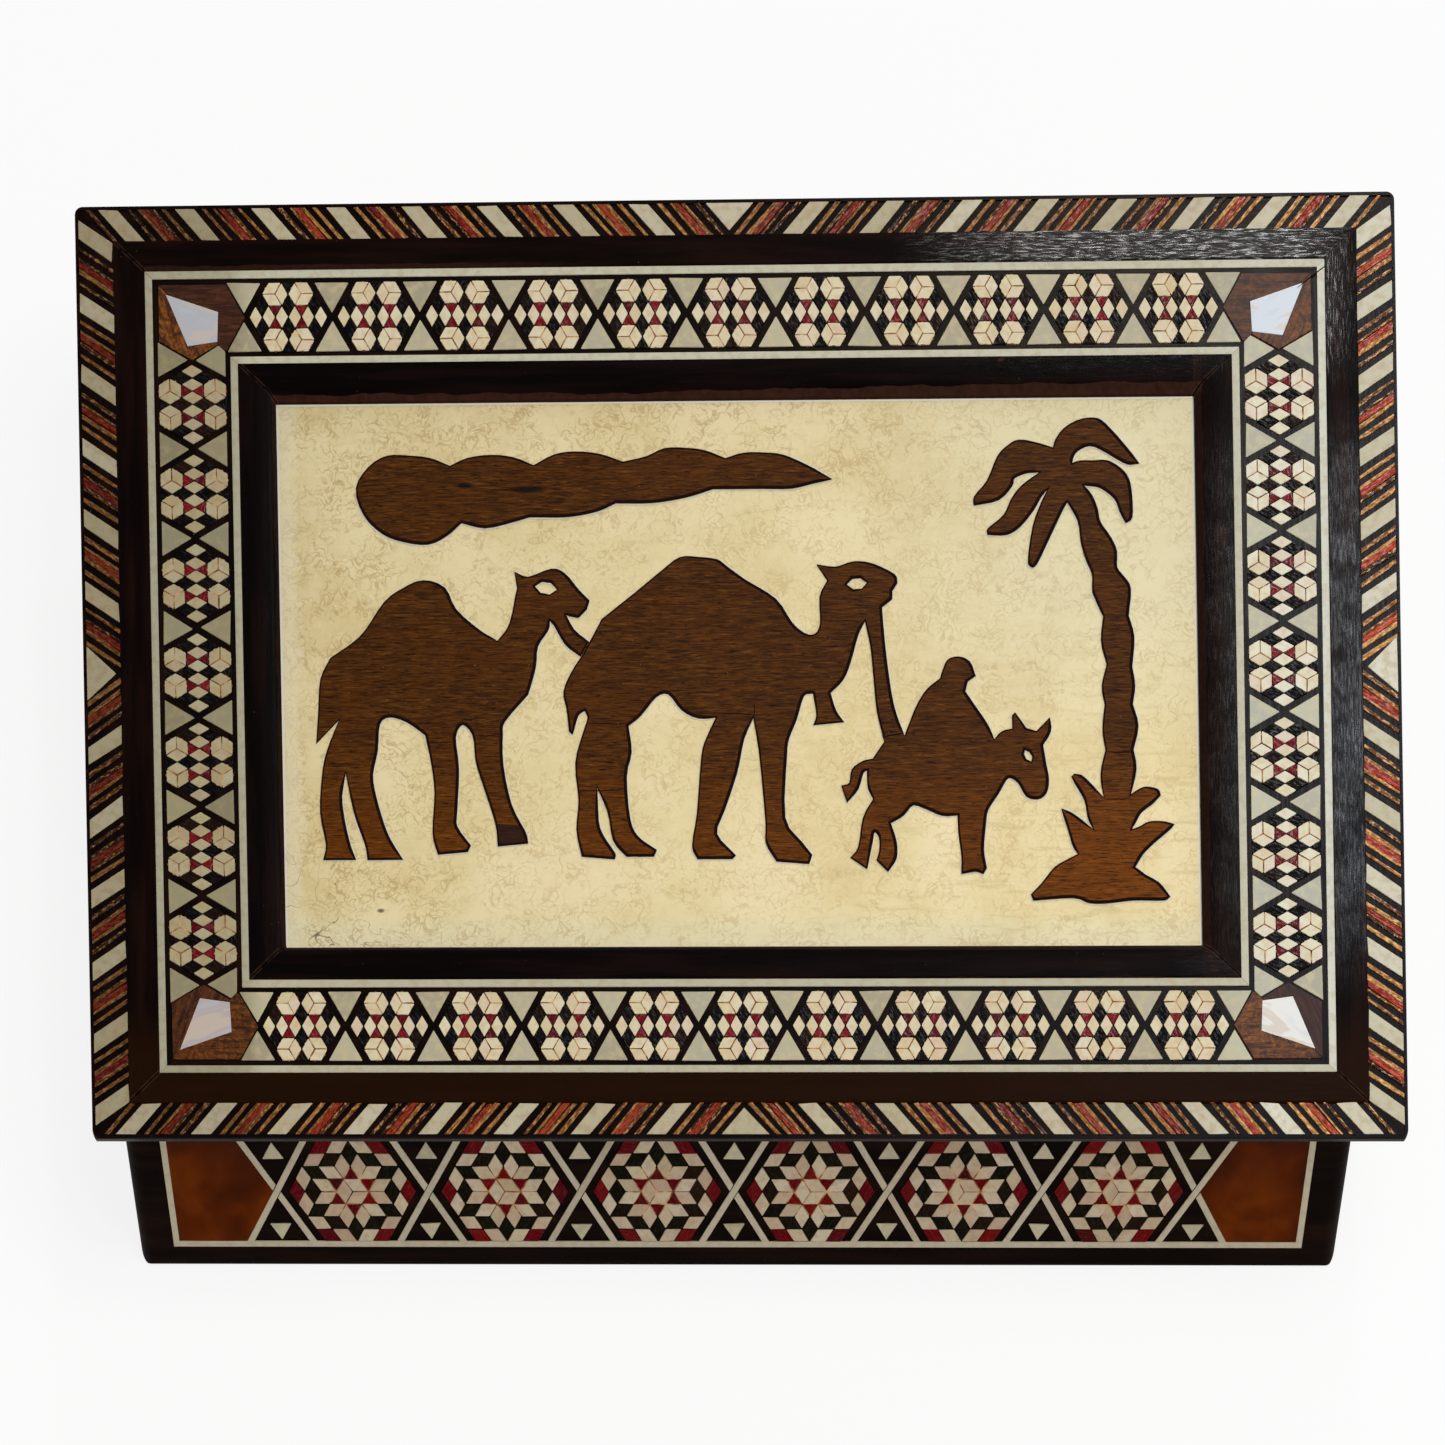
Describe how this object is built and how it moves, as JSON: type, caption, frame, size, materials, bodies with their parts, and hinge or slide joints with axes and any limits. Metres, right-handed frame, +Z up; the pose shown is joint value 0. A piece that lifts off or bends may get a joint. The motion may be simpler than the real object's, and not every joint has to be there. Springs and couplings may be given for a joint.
{
  "type": "inlaid wooden box with hinged lid",
  "caption": "Low rectangular wooden box with an overhanging hinged lid, geometric bone, red and black inlay, and a recessed cream panel with walnut figures.",
  "frame": {"origin": "middle of the closed box's outline (the lid's), at the level the box stands on", "axes": "+X to the right along the box's width, -Y towards the viewer at the front, +Z up"},
  "size_m": [0.25, 0.176, 0.0365],
  "materials": {
    "carcass_wood": "plain softwood, oiled",
    "ebony": "black stained veneer and mastic, French polished",
    "bone": "polished camel bone",
    "grey_bone": "duller bone, polished",
    "red_wood": "crimson dyed veneer, polished",
    "tan_wood": "lemonwood veneer, polished",
    "burl": "reddish brown burl, polished",
    "pearl": "mother-of-pearl, polished",
    "cream_panel": "cream panel under aged crackled varnish",
    "walnut": "walnut veneer with scorched edges, varnished",
    "velvet": "cotton velvet on card",
    "brass": "plain brass, slightly dulled"
  },
  "bodies": {
    "case": {"bottom_board": "carcass_wood", "front_wall": "carcass_wood", "back_wall": "carcass_wood", "left_wall": "carcass_wood", "right_wall": "carcass_wood", "front_facing": "ebony", "back_facing": "ebony", "left_facing": "ebony", "right_facing": "ebony", "case_lines": "bone", "star_beds": "ebony", "star_bone": "bone", "star_red": "red_wood", "star_strings": "bone", "star_fillers": "grey_bone", "end_panels": "burl", "floor_lining": "velvet", "front_lining": "velvet", "back_lining": "velvet", "left_lining": "velvet", "right_lining": "velvet", "left_hinge_case_leaf": "brass", "right_hinge_case_leaf": "brass", "left_hinge_pin": "brass", "right_hinge_pin": "brass", "case_hinge_screws": "brass"},
    "lid": {"lid_board": "carcass_wood", "lid_edging": "ebony", "stripe_beds": "ebony", "stripe_bone": "bone", "stripe_red": "red_wood", "stripe_tan": "tan_wood", "outer_frame": "ebony", "outer_lines": "bone", "inner_lines": "bone", "mosaic_beds": "ebony", "mosaic_bone": "bone", "mosaic_red": "red_wood", "mosaic_fillers": "grey_bone", "corner_blocks": "burl", "corner_pearls": "pearl", "inner_frame": "ebony", "picture_panel": "cream_panel", "camel_rear": "walnut", "camel_front": "walnut", "donkey_rider": "walnut", "palm_tree": "walnut", "cloud": "walnut", "lid_lining": "velvet", "left_hinge_lid_leaf": "brass", "right_hinge_lid_leaf": "brass", "lid_hinge_screws": "brass"}
  },
  "joints": [
    {"name": "lid_hinge", "type": "hinge", "parent": "case", "child": "lid", "pos_m": [-0.002, 0.0821, 0.03145], "axis": [-1, 0, 0], "range_deg": [0, 120]}
  ]
}
